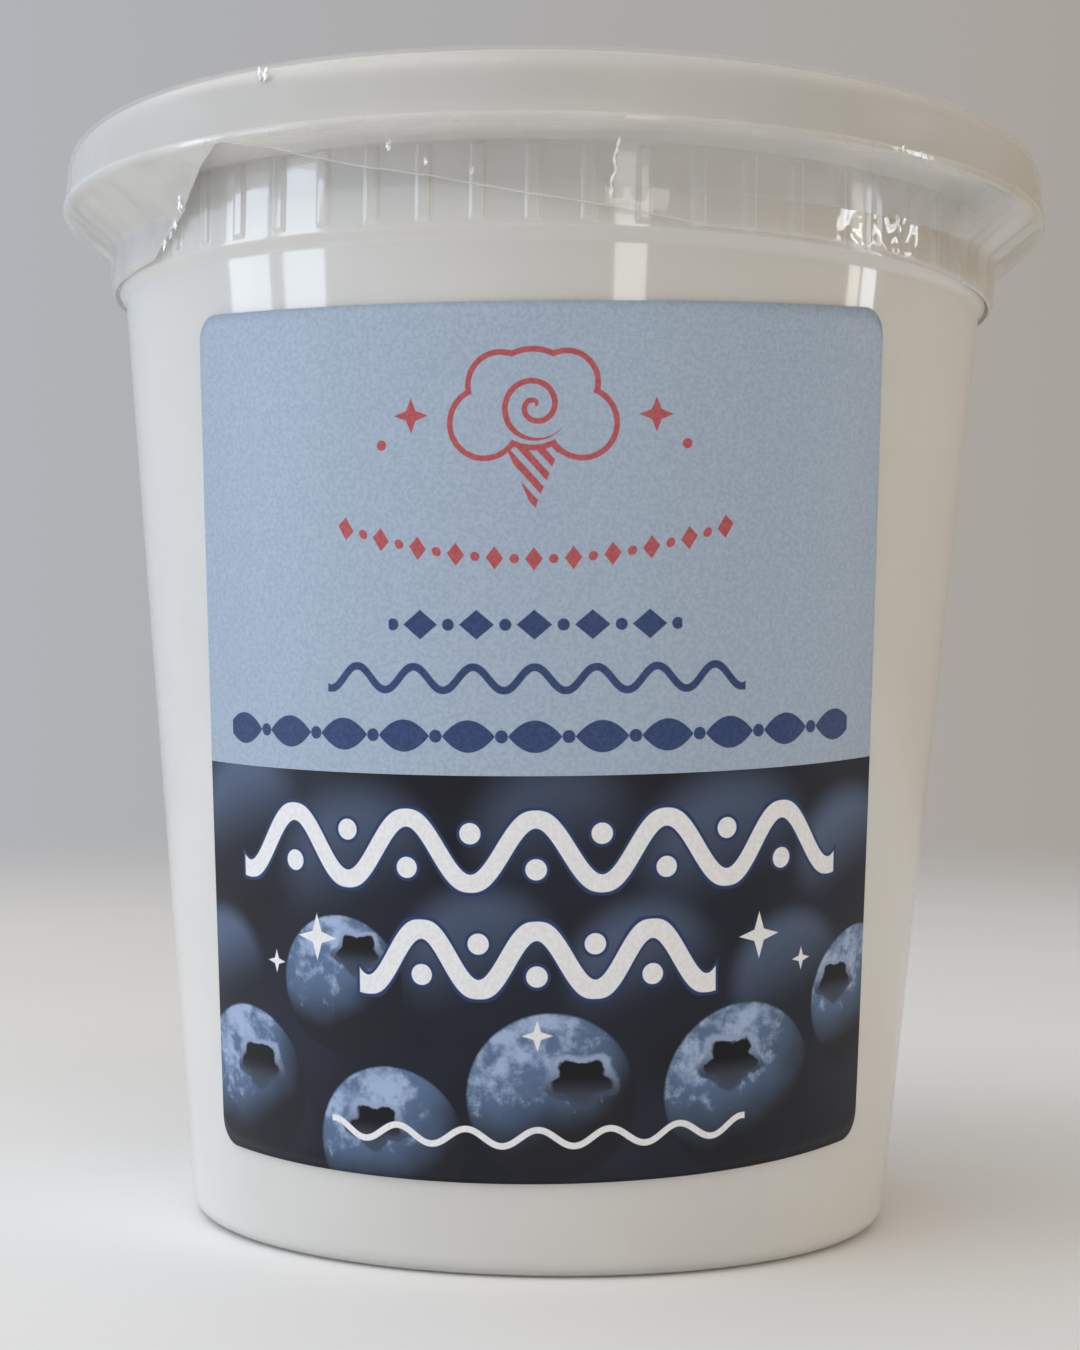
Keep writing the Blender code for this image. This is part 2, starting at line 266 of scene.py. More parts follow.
def place(radius, height, azimuth):
    """The point in metres at this radius, height and azimuth."""
    angle = math.radians(azimuth)
    return (radius * math.sin(angle) * MM, -radius * math.cos(angle) * MM, height * MM)


def arc(centre_radius, centre_height, radius, start, end, steps):
    """Profile points on an arc, from the start angle to the end angle in degrees."""
    angles = [math.radians(start + (end - start) * k / steps) for k in range(steps + 1)]
    return [(centre_radius + radius * math.cos(a), centre_height + radius * math.sin(a)) for a in angles]


def rounded(profile, radius, steps=4):
    """The profile with each inner corner cut back and turned into a curve."""
    result = [profile[0]]
    for before, corner, after in zip(profile, profile[1:], profile[2:]):
        point = Vector(corner)
        towards = [Vector(end) - point for end in (before, after)]
        reach = min(radius, 0.45 * min(side.length for side in towards))
        start, end = (point + side.normalized() * reach for side in towards)
        for k in range(steps + 1):
            t = k / steps
            result.append(tuple(start * (1 - t) ** 2 + point * 2 * t * (1 - t) + end * t * t))
    return result + [profile[-1]]


def smoothstep(low, high, value):
    share = min(max((value - low) / (high - low), 0), 1)
    return share * share * (3 - 2 * share)


def wall_radius(height):
    return BASE_RADIUS + TAPER * height


def zone(limits, value):
    """1 between the two inner limits, falling to 0 at the outer ones."""
    start, full, fading, end = limits
    return smoothstep(start, full, value) * (1 - smoothstep(fading, end, value))


def between(points, at):
    """The value at a place on the line that joins the points."""
    for (left, low), (right, high) in zip(points, points[1:]):
        if at <= right:
            return low + (high - low) * (at - left) / (right - left)
    return points[-1][1]


def loft(rows, closed=False):
    """A mesh through the rings of points, closed on itself or capped at both ends."""
    bm = bmesh.new()
    rings = [[bm.verts.new(point) for point in row] for row in rows]
    following = rings[1:] + ([rings[0]] if closed else [])
    for ring, after in zip(rings, following):
        for k in range(len(ring)):
            j = (k + 1) % len(ring)
            bm.faces.new((ring[k], ring[j], after[j], after[k]))
    if not closed:
        for ring in (rings[0], rings[-1]):
            height = sum(vert.co.z for vert in ring) / len(ring)
            centre = bm.verts.new((0, 0, height))
            for k in range(len(ring)):
                bm.faces.new((ring[k - 1], ring[k], centre))
    return bm


def add_piece(name, bm, material, node=None):
    """The mesh as a smooth piece on the root body, standing for a node where it is given."""
    bmesh.ops.recalc_face_normals(bm, faces=bm.faces)
    mesh = bpy.data.meshes.new(name)
    bm.to_mesh(mesh)
    bm.free()
    mesh.shade_smooth()
    mesh.materials.append(material)
    piece = bpy.data.objects.new(name, mesh)
    bpy.context.scene.collection.objects.link(piece)
    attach(piece, "root")
    if node:
        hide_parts(node)
    return piece


class Field:
    """A number that varies over a surface. Arithmetic on fields adds Math nodes to their tree."""

    def __init__(self, tree, socket):
        self.tree = tree
        self.socket = socket

    def math(self, operation, *values):
        node = self.tree.nodes.new("ShaderNodeMath")
        node.operation = operation
        for slot, value in zip(node.inputs, values):
            if isinstance(value, Field):
                self.tree.links.new(value.socket, slot)
            else:
                slot.default_value = value
        return Field(self.tree, node.outputs[0])

    def __add__(self, other):
        return self.math("ADD", self, other)

    def __sub__(self, other):
        return self.math("SUBTRACT", self, other)

    def __rsub__(self, other):
        return self.math("SUBTRACT", other, self)

    def __mul__(self, other):
        return self.math("MULTIPLY", self, other)

    def __truediv__(self, other):
        return self.math("DIVIDE", self, other)

    def __abs__(self):
        return self.math("ABSOLUTE", self)

    def root(self):
        return self.math("SQRT", self)

    def least(self, other):
        return self.math("MINIMUM", self, other)

    def most(self, other):
        return self.math("MAXIMUM", self, other)

    def wave(self, period):
        """A sine with this period, from -1 to 1."""
        return self.math("SINE", self * (2 * math.pi / period))

    def from_nearest(self, pitch):
        """The distance to the nearest whole multiple of the pitch."""
        return self.math("PINGPONG", self, pitch / 2)

    def ramp(self, low, high, bottom=0.0, top=1.0):
        """A smooth step from the bottom value at low to the top value at high."""
        node = self.tree.nodes.new("ShaderNodeMapRange")
        node.interpolation_type = "SMOOTHSTEP"
        self.tree.links.new(self.socket, node.inputs["Value"])
        for slot, value in zip(("From Min", "From Max", "To Min", "To Max"), (low, high, bottom, top)):
            node.inputs[slot].default_value = value
        return Field(self.tree, node.outputs["Result"])


def parts(tree, vector):
    """Fields of a vector socket's x, y and z."""
    split = tree.nodes.new("ShaderNodeSeparateXYZ")
    tree.links.new(vector, split.inputs["Vector"])
    return [Field(tree, split.outputs[axis]) for axis in "XYZ"]


def hypot(a, b):
    return (a * a + b * b).root()


def new_material(name):
    material = bpy.data.materials.new(name)
    material.use_nodes = True
    tree = material.node_tree
    return material, tree, tree.nodes["Principled BSDF"], tree.nodes["Material Output"]


def noise_field(tree, scale, detail=3, stretch=(1, 1, 1), roughness=0.5):
    """Noise in the row's own metres, stretched along the axes."""
    where = tree.nodes.new("ShaderNodeTexCoord")
    mapping = tree.nodes.new("ShaderNodeMapping")
    mapping.inputs["Scale"].default_value = stretch
    texture = tree.nodes.new("ShaderNodeTexNoise")
    texture.inputs["Scale"].default_value = scale
    texture.inputs["Detail"].default_value = detail
    texture.inputs["Roughness"].default_value = roughness
    tree.links.new(where.outputs["Object"], mapping.inputs["Vector"])
    tree.links.new(mapping.outputs["Vector"], texture.inputs["Vector"])
    return Field(tree, texture.outputs["Fac"])


def mix_colour(tree, share, first, second):
    """The colour between two others, each a fixed colour or a socket."""
    node = tree.nodes.new("ShaderNodeMix")
    node.data_type = "RGBA"
    tree.links.new(share.socket, node.inputs["Factor"])
    for slot, value in zip((node.inputs[6], node.inputs[7]), (first, second)):
        if isinstance(value, bpy.types.NodeSocket):
            tree.links.new(value, slot)
        else:
            slot.default_value = value
    return node.outputs[2]


def add_bump(tree, shader, height, distance, strength=1.0):
    bump = tree.nodes.new("ShaderNodeBump")
    bump.inputs["Distance"].default_value = distance * MM
    bump.inputs["Strength"].default_value = strength
    tree.links.new(height.socket, bump.inputs["Height"])
    tree.links.new(bump.outputs["Normal"], shader.inputs["Normal"])
    return bump


def facing_field(tree):
    """0 where the surface is seen straight on, up to 1 where it is seen edge on."""
    edge = tree.nodes.new("ShaderNodeLayerWeight")
    edge.inputs["Blend"].default_value = 0.5
    return Field(tree, edge.outputs["Facing"])


def grazing(facing):
    """The fifth power, as a mirror image grows towards a glancing view."""
    squared = facing * facing
    return squared * squared * facing


def add_gloss(tree, shader, output, share, roughness, bump=None, colour=(0.95, 0.95, 0.95, 1)):
    """A clear gloss over the shader, so that see-through parts mirror as well as milky ones do."""
    gloss = tree.nodes.new("ShaderNodeBsdfAnisotropic")
    gloss.inputs["Color"].default_value = colour
    if isinstance(roughness, Field):
        tree.links.new(roughness.socket, gloss.inputs["Roughness"])
    else:
        gloss.inputs["Roughness"].default_value = roughness
    if bump:
        tree.links.new(bump.outputs["Normal"], gloss.inputs["Normal"])
    whole = tree.nodes.new("ShaderNodeMixShader")
    tree.links.new(share.socket, whole.inputs["Fac"])
    tree.links.new(shader.outputs["BSDF"], whole.inputs[1])
    tree.links.new(gloss.outputs["BSDF"], whole.inputs[2])
    tree.links.new(whole.outputs["Shader"], output.inputs["Surface"])


def plastic_material(name, milk, clouded, milkiness, rim_milkiness, roughness, shine, ripple):
    """Milky see-through plastic, which looks thicker where it is seen edge on."""
    material, tree, shader, output = new_material(name)
    mottle = noise_field(tree, 110, 2).ramp(0.3, 0.7)
    tree.links.new(mix_colour(tree, mottle, clouded, milk), shader.inputs["Base Color"])
    shader.inputs["Roughness"].default_value = roughness
    shader.inputs["IOR"].default_value = 1.5
    shader.inputs["Specular IOR Level"].default_value = 0
    bump = add_bump(tree, shader, noise_field(tree, 70, 1), ripple)
    facing = facing_field(tree)
    solid = facing.ramp(0.2, 1.0, milkiness, rim_milkiness)
    tree.links.new(solid.socket, shader.inputs["Alpha"])
    add_gloss(tree, shader, output, grazing(facing) * 0.8 + shine, roughness, bump)
    return material


def row_place(tree):
    """Fields of the place in the row's frame: x, y and z in millimetres."""
    where = tree.nodes.new("ShaderNodeTexCoord")
    return [part / MM for part in parts(tree, where.outputs["Object"])]


def film_material():
    """Clear shrink film with a sharp gloss, a little hazy where it bridges from the lip to the neck."""
    material, tree, shader, output = new_material("clear_film")
    x, y, z = row_place(tree)
    azimuth = x.math("ARCTAN2", x, 0 - y) * (180 / math.pi)
    patchy = noise_field(tree, 130, 0).ramp(0.25, 0.75, 0.8, 1.1)
    hazy = azimuth.ramp(-4, 13, FILM_THIN_HAZE, FILM_FRONT_HAZE)
    hazy = hazy.least(azimuth.ramp(31, 35, FILM_FRONT_HAZE, FILM_THIN_HAZE))
    hazy = hazy.most(azimuth.ramp(*DRAPE_END, 0, FILM_HAZE))
    hazy = hazy.most(azimuth.ramp(44, 70, 0, FILM_SIDE_HAZE))
    hazy = hazy.most(z.ramp(120.8, 122.3, 0, FILM_EDGE_HAZE))
    haze = z.ramp(123.4, 122.5, FILM_THIN_HAZE, 1).least(hazy) * patchy
    edge = tree.nodes.new("ShaderNodeAttribute")
    edge.attribute_name = "from_edge"
    haze = haze.most(Field(tree, edge.outputs["Fac"]).ramp(0.35, 0.1, 0, FILM_EDGE_HAZE))
    bump = add_bump(tree, shader, noise_field(tree, 420, 2, (1, 1, 0.35)), 0.02)
    shader.inputs["Base Color"].default_value = (0.86, 0.84, 0.8, 1)
    shader.inputs["Roughness"].default_value = 0.3
    tree.links.new(haze.socket, shader.inputs["Alpha"])
    on_lid = z.ramp(122.7, 123.6)
    tight = azimuth.ramp(27, 33, *FILM_GLOSS).most(azimuth.ramp(*DRAPE_END, *FILM_GLOSS))
    shine = grazing(facing_field(tree)) * 0.35 + tight * (1 - on_lid * 0.8)
    add_gloss(tree, shader, output, shine, on_lid.ramp(0, 1, 0.07, 0.32), bump)
    return material


def candy_material():
    """Spun sugar: white, matt and finely fibrous."""
    material, tree, shader, _ = new_material("spun_sugar")
    fibre = noise_field(tree, 700, 3, (1, 1, 0.25), 0.65)
    cloud = noise_field(tree, 45, 2)
    share = (fibre * 0.4 + cloud * 0.6).ramp(0.3, 0.7)
    tree.links.new(mix_colour(tree, share, *SUGAR_WHITES), shader.inputs["Base Color"])
    shader.inputs["Roughness"].default_value = 0.85
    shader.inputs["Sheen Weight"].default_value = 0.15
    add_bump(tree, shader, fibre, 0.2)
    return material


def tub_profile():
    """Profile points with the share of the ribs' relief that each takes."""
    corner_centre = wall_radius(FOOT_CORNER) - FOOT_CORNER
    ring_inside = corner_centre - FOOT_RING
    neck_inside = NECK_RADIUS - WALL
    recess_edge = ring_inside - FOOT_RECESS
    recess_middle = recess_edge - 4
    lower = rounded([
        (recess_middle, FOOT_RECESS),
        (recess_edge, FOOT_RECESS),
        (ring_inside, 0),
        (corner_centre - 1, 0),
    ], 0.5)
    lower += arc(corner_centre, FOOT_CORNER, FOOT_CORNER, -90, -WALL_LEAN, 10)
    lower += [(wall_radius(z), z) for z in (8, 30, 60, 90)]
    lower += rounded([
        (wall_radius(106), 106),
        (wall_radius(LEDGE_HEIGHT), LEDGE_HEIGHT),
        (NECK_RADIUS, NECK_BOTTOM),
        (NECK_RADIUS, RIB_BOTTOM - 0.25),
    ], 0.55)
    ribs = [(RIB_BOTTOM + inwards, share) for inwards, share in RIB_END] + [(RIB_MIDDLE, 1)]
    ribs += [(RIB_TOP - inwards, share) for inwards, share in reversed(RIB_END)]
    upper = rounded([
        (NECK_RADIUS, RIB_TOP + 0.2),
        (NECK_RADIUS, COLLAR_BOTTOM),
        (COLLAR_OUTER, COLLAR_BOTTOM + WALL),
        (COLLAR_OUTER, TUB_HEIGHT),
        (COLLAR_INNER, TUB_HEIGHT),
        (COLLAR_INNER, COLLAR_BOTTOM + 2 * WALL),
        (neck_inside, COLLAR_BOTTOM + WALL),
        (neck_inside, NECK_BOTTOM + WALL / 2),
        (wall_radius(LEDGE_HEIGHT) - WALL, LEDGE_HEIGHT + WALL / 2),
        (wall_radius(60) - WALL, 60),
    ], 0.5, 3)
    inside = arc(corner_centre, FOOT_CORNER, FOOT_CORNER - WALL, -WALL_LEAN, -90, 6)
    inside += rounded([
        (corner_centre - 0.5, WALL),
        (ring_inside, WALL),
        (recess_edge, FOOT_RECESS + WALL),
        (recess_middle, FOOT_RECESS + WALL),
    ], 0.5, 3)
    plain = [(r, z, 0) for r, z in lower] + [(NECK_RADIUS, z, share) for z, share in ribs]
    return plain + [(r, z, 0) for r, z in upper + inside]


def make_tub():
    """The tub's thin shell, with its ribs in the neck."""
    pitch = 360 / RIB_COUNT
    azimuths = [RIB_CENTRE + pitch * k + offset for k in range(RIB_COUNT) for offset in RIB_OFFSETS]
    relief = [RIB_DEPTH * (1 - smoothstep(*RIB_FLANK, abs(offset))) for offset in RIB_OFFSETS] * RIB_COUNT
    rows = []
    for radius, height, share in tub_profile():
        outwards = [radius + share * rise for rise in relief]
        rows.append([place(out, height, azimuth) for out, azimuth in zip(outwards, azimuths)])
    material = plastic_material(
        "clear_plastic", milk=(0.835, 0.82, 0.79, 1), clouded=(0.82, 0.805, 0.775, 1), milkiness=0.4,
        rim_milkiness=0.85, roughness=0.06, shine=0.08, ripple=0.04,
    )
    add_piece("tub_shell", loft(rows), material, "tub")


def bead(radius, width, height, base):
    """The profile of a ring that stands up from a flat panel."""
    slope = height * 0.9
    return [
        (radius - width / 2 - slope, base),
        (radius - width / 2, base + height),
        (radius + width / 2, base + height),
        (radius + width / 2 + slope, base),
    ]


def lid_outside(lift=0.0):
    """The lid's outer surface from its round top down to the lip."""
    skirt = LID_ROUND_CENTRE + LID_ROUND + lift
    lip = LID_LIP_RADIUS + lift
    profile = arc(LID_ROUND_CENTRE, LID_TOP - LID_ROUND, LID_ROUND + lift, 90, 4, 12)
    profile += [(skirt + flare, height) for flare, height in LID_SKIRT]
    return profile + [
        (lip - 0.1, LID_LIP_BOTTOM + LID_LIP_HEIGHT),
        (lip, LID_LIP_BOTTOM + 0.6),
        (lip, LID_LIP_BOTTOM + 0.25),
    ]


def make_lid():
    """The lid's thin shell: a round rim with a flared lip, and a recessed panel with a low ring."""
    panel_bottom = LID_PANEL_TOP - LID_WALL
    plug_inside = LID_PLUG_RADIUS - LID_WALL
    skirt = LID_ROUND_CENTRE + LID_ROUND - LID_WALL
    top_side = rounded([
        (LID_MIDDLE_RADIUS, LID_PANEL_TOP),
        *bead(LID_BEAD_RADIUS, LID_BEAD_WIDTH, LID_BEAD_HEIGHT, LID_PANEL_TOP),
        (plug_inside - LID_WALL, LID_PANEL_TOP),
        (plug_inside, LID_PANEL_TOP + LID_WALL),
        (plug_inside, LID_TOP),
        (LID_ROUND_CENTRE - 0.1, LID_TOP),
    ], 0.5)
    underside = rounded([
        (LID_LIP_RADIUS - 0.1, LID_LIP_BOTTOM + 0.15),
        (LID_LIP_RADIUS - 0.4, LID_LIP_BOTTOM),
        (LID_LIP_RADIUS - LID_WALL, LID_LIP_BOTTOM + 0.3),
        (skirt, LID_LIP_BOTTOM + 2 * LID_WALL),
        *arc(LID_ROUND_CENTRE, LID_TOP - LID_ROUND, LID_ROUND - LID_WALL, 6, 90, 6),
        (LID_PLUG_RADIUS, LID_PANEL_TOP),
        (plug_inside, panel_bottom),
        *reversed(bead(LID_BEAD_RADIUS, LID_BEAD_WIDTH - LID_WALL, LID_BEAD_HEIGHT, panel_bottom)),
        (LID_MIDDLE_RADIUS, panel_bottom),
    ], 0.3, 3)
    profile = top_side + lid_outside() + underside
    pitch = 360 / LID_COLUMNS
    rows = [[place(radius, height, pitch * k) for k in range(LID_COLUMNS)] for radius, height in profile]
    material = plastic_material(
        "lid_plastic", milk=(0.735, 0.72, 0.69, 1), clouded=(0.71, 0.695, 0.665, 1), milkiness=0.6,
        rim_milkiness=0.84, roughness=0.32, shine=0.045, ripple=0.06,
    )
    add_piece("lid_shell", loft(rows), material, "lid")


def profile_length(profile):
    return sum(math.dist(a, b) for a, b in zip(profile, profile[1:]))


def along(profile, distance):
    """The profile's point at a distance along it."""
    for a, b in zip(profile, profile[1:]):
        step = math.dist(a, b)
        if distance <= step:
            t = distance / step
            return a[0] + (b[0] - a[0]) * t, a[1] + (b[1] - a[1]) * t
        distance -= step
    return profile[-1]


def film_path(azimuth):
    """The film's inner profile at an azimuth, from its fold on the lid to its lower edge."""
    ledge = wall_radius(LEDGE_HEIGHT) + FILM_LIFT
    top = [(FILM_FOLD_RADIUS, LID_TOP + FILM_LIFT - FILM_FOLD_SAG)] + lid_outside(FILM_LIFT)
    bottom = rounded([
        top[-1],
        (LID_LIP_RADIUS + FILM_LIFT - 0.15, LID_LIP_BOTTOM - 0.15),
        (FILM_NECK_RADIUS, FILM_BRIDGE_BOTTOM),
        (FILM_NECK_RADIUS, NECK_BOTTOM + 0.3),
        (ledge, LEDGE_HEIGHT),
        (wall_radius(109) + FILM_LIFT, 109),
    ], 0.9, 5)
    near = [azimuth + turn for turn in (-FILM_EDGE_BLEND, 0, FILM_EDGE_BLEND)]
    edge = sum(between(FILM_EDGE, min(max(turned, -180), 180)) for turned in near) / len(near)
    kept = [point for point in bottom if point[1] > edge + 0.05]
    return top, kept + [(radius_at(bottom, edge), edge)]


def radius_at(profile, height):
    """The radius of a profile that runs downwards, at a height on it."""
    for (above, top), (below, bottom) in zip(profile, profile[1:]):
        if height >= bottom:
            return below + (above - below) * (height - bottom) / max(top - bottom, 1e-6)
    return profile[-1][0]


def crumple(azimuth, height):
    """How far the film stands off its smooth form, in millimetres."""
    angle = math.radians(azimuth)
    around = Vector((math.sin(angle), -math.cos(angle), 0)) * 60
    spot = around + Vector((0, 0, height))
    bridge = zone(LOOSE_HEIGHTS, height)
    folds = noise.noise(Vector((spot.x * 0.35, spot.y * 0.35, spot.z * 0.08)))
    fine = noise.noise(spot * 0.55) - abs(noise.noise(spot * 0.32 + Vector((9, 4, 2))))
    crushed = zone(CRUSHED_AZIMUTHS, azimuth) * zone(CRUSHED_HEIGHTS, height)
    crushed *= 1 - smoothstep(*CRUSHED_CALMING, height) * 0.85
    from_edge = height - between(FILM_EDGE, azimuth)
    creased = zone(CREASED_AZIMUTHS, azimuth) * bridge
    creased *= 1 - smoothstep(*CREASED_CALMING, from_edge)
    return 0.3 * bridge * folds + (0.03 + 0.35 * crushed) * fine + 0.55 * creased * (fine + 0.5)


def make_film():
    """The band in two skins, from its fold on the lid to its lower edge, with its crumples."""
    row_count = FILM_TOP_ROWS + FILM_BOTTOM_ROWS + 1
    pitch = 360 / FILM_COLUMNS
    azimuths = [pitch * k - 180 for k in range(FILM_COLUMNS)]
    columns, edge_steps = [], []
    for azimuth in azimuths:
        top, bottom = film_path(azimuth)
        top_step = profile_length(top) / FILM_TOP_ROWS
        bottom_step = profile_length(bottom) / FILM_BOTTOM_ROWS
        column = [along(top, top_step * k) for k in range(FILM_TOP_ROWS)]
        column += [along(bottom, bottom_step * k) for k in range(FILM_BOTTOM_ROWS + 1)]
        columns.append(column)
        edge_steps.append(bottom_step)
    inner, outer = [], []
    for k in range(row_count):
        bead = FILM_EDGE_BEAD if k >= row_count - 2 else 0
        for rows, lift in ((inner, -bead / 2), (outer, FILM_THICKNESS + bead / 2)):
            row = []
            for azimuth, column in zip(azimuths, columns):
                radius, height = column[k]
                before, after = column[max(k - 1, 0)], column[min(k + 1, len(column) - 1)]
                along_path = Vector((after[0] - before[0], after[1] - before[1])).normalized()
                push = crumple(azimuth, height) + lift
                row.append(place(radius - along_path.y * push, height + along_path.x * push, azimuth))
            rows.append(row)
    bm = loft(outer + inner[::-1], closed=True)
    from_edge = bm.verts.layers.float.new("from_edge")
    bm.verts.ensure_lookup_table()
    for k, vert in enumerate(bm.verts):
        row, column = divmod(k, FILM_COLUMNS)
        steps = row_count - 1 - min(row, 2 * row_count - 1 - row)
        vert[from_edge] = steps * edge_steps[column] if steps <= FILM_BOTTOM_ROWS else FILM_FAR
    add_piece("film_band", bm, film_material(), "shrink_band")


def pucker_material():
    """The film drawn up tight into puckers and a crease: a real gloss that catches the light, over an
    opaque pale colour that is a painted glint.
    """
    material, tree, shader, output = new_material("drawn_film_painted_glint")
    # Painted glint: this opaque pale base colour makes the puckers and the crease show as white sparkles
    # under any light.
    shader.inputs["Base Color"].default_value = (0.86, 0.86, 0.85, 1)
    shader.inputs["Roughness"].default_value = 0.25
    add_bump(tree, shader, noise_field(tree, 1500, 1), 0.02)
    share = noise_field(tree, 900, 1).ramp(0.3, 0.7, 0.35, 0.6)
    add_gloss(tree, shader, output, share, 0.12, colour=(1, 1, 1, 1))
    return material


def film_radius(azimuth, height):
    top, bottom = film_path(azimuth)
    return radius_at(top + bottom[1:], height)


def make_puckers():
    """Tiny domes and one wavy ridge that stand up from the film."""
    bm = bmesh.new()
    for azimuth, height, radius in PUCKERS:
        lean = noise.noise(Vector((azimuth, height, 0)) * 0.37)
        outwards = Matrix.Rotation(math.radians(azimuth), 4, "Z") @ Matrix.Rotation(lean, 4, "Y")
        outwards = outwards @ Matrix.Diagonal((0.7, 0.35, 1.3, 1))
        centre = Vector(place(film_radius(azimuth, height) + FILM_THICKNESS, height, azimuth))
        dome = bmesh.ops.create_icosphere(bm, subdivisions=3, radius=radius * MM)
        for vert in dome["verts"]:
            uneven = 1 + 0.8 * noise.noise(vert.co / (0.35 * MM) + centre / MM)
            vert.co = centre + outwards @ (vert.co * uneven)
    rings = []
    for k in range(CREASE_STEPS + 1):
        share = k / CREASE_STEPS
        height = CREASE_ENDS[0] + (CREASE_ENDS[1] - CREASE_ENDS[0]) * share
        azimuth = CREASE_AZIMUTH + 0.25 * share + 0.5 * noise.noise(Vector((height * 0.9, 3.1, 0)))
        radius = film_radius(CREASE_AZIMUTH, height) + FILM_THICKNESS
        thinned = min(1, 8 * share + 0.1, 8 * (1 - share) + 0.1)
        width = CREASE_WIDTH * thinned * (1 + noise.noise(Vector((height * 2.3, 7.7, 0))))
        ring = []
        for j in range(CREASE_SIDES):
            angle = 2 * math.pi * j / CREASE_SIDES
            turn = math.degrees(width * math.cos(angle) / radius)
            ring.append(place(radius + width * math.sin(angle), height, azimuth + turn))
        rings.append(ring)
    ridge = loft(rings)
    mesh = bpy.data.meshes.new("ridge")
    ridge.to_mesh(mesh)
    ridge.free()
    bm.from_mesh(mesh)
    bpy.data.meshes.remove(mesh)
    add_piece("film_puckers", bm, pucker_material())


def on_wall(across, up, lift):
    """Where a point of the flat label lies once the sheet is wrapped round the tub's taper."""
    steepness = math.sin(math.atan(TAPER))
    tilt = math.radians(LABEL_TILT)
    sideways = across * math.cos(tilt) - up * math.sin(tilt)
    from_apex = wall_radius(LABEL_CENTRE) / steepness + across * math.sin(tilt) + up * math.cos(tilt)
    radius = math.hypot(sideways, from_apex) * steepness
    azimuth = math.degrees(math.atan2(sideways, from_apex) / steepness)
    return place(radius + lift, (radius - BASE_RADIUS) / TAPER, azimuth + LABEL_AZIMUTH)


def column_heights(half_height):
    """The heights of a column's points, one of them where the picture meets the paper."""
    picture = [FIELD_TOP + (FIELD_TOP + half_height) * k / PICTURE_ROWS for k in range(-PICTURE_ROWS, 0)]
    paper = [FIELD_TOP + (half_height - FIELD_TOP) * k / PAPER_ROWS for k in range(PAPER_ROWS + 1)]
    return picture + paper


def make_label():
    """The sheet with round corners, wrapped round the tub, with the paper's and the picture's prints."""
    straight = LABEL_WIDTH / 2 - LABEL_CORNER
    columns = [(straight * (2 * k / LABEL_COLUMNS - 1), LABEL_HEIGHT / 2) for k in range(LABEL_COLUMNS + 1)]
    for k in range(1, CORNER_COLUMNS + 1):
        angle = math.pi / 2 * k / CORNER_COLUMNS
        across = straight + LABEL_CORNER * math.sin(angle)
        half_height = LABEL_HEIGHT / 2 - LABEL_CORNER * (1 - math.cos(angle))
        columns = [(-across, half_height), *columns, (across, half_height)]
    bm = bmesh.new()
    flat = bm.loops.layers.uv.new("sheet")
    places = {}
    sheets = []
    for lift in (LABEL_LIFT, LABEL_LIFT + LABEL_THICKNESS):
        sheet = []
        for across, half_height in columns:
            column = []
            for up in column_heights(half_height):
                vert = bm.verts.new(on_wall(across, up, lift))
                places[vert] = (across / LABEL_HEIGHT + 0.5, up / LABEL_HEIGHT + 0.5)
                column.append(vert)
            sheet.append(column)
        sheets.append(sheet)
    outlines = []
    for sheet in sheets:
        for left, right in zip(sheet, sheet[1:]):
            for k in range(PICTURE_ROWS + PAPER_ROWS):
                bm.faces.new((left[k], right[k], right[k + 1], left[k + 1]))
        bottom = [column[0] for column in sheet]
        top = [column[-1] for column in sheet]
        outlines.append(bottom + sheet[-1][1:-1] + top[::-1] + sheet[0][1:-1][::-1])
    back, front = outlines
    for k in range(len(back)):
        bm.faces.new((back[k - 1], back[k], front[k], front[k - 1]))
    field_top = FIELD_TOP / LABEL_HEIGHT + 0.5
    for face in bm.faces:
        for loop in face.loops:
            loop[flat].uv = places[loop.vert]
        middle = sum(places[vert][1] for vert in face.verts) / len(face.verts)
        face.material_index = int(middle < field_top)
    paper = print_material("paper_print", paper_print)
    piece = add_piece("label_sheet", bm, paper, "label")
    piece.data.materials.append(print_material("picture_print", picture_print))


def candy_top(radius, azimuth):
    """The height of the loose top of the candy."""
    angle = math.radians(azimuth)
    spot = Vector((radius * math.sin(angle), radius * math.cos(angle), 0))
    dome = CANDY_SHOULDER + (CANDY_CROWN - CANDY_SHOULDER) * math.cos(radius / NECK_RADIUS * math.pi / 2)
    billow = 1 - abs(noise.noise(spot * 0.09)) * 2
    return dome + 1.1 * billow - 0.6 + 0.5 * noise.noise(spot * 0.35) + 0.2 * noise.noise(spot * 1.1)


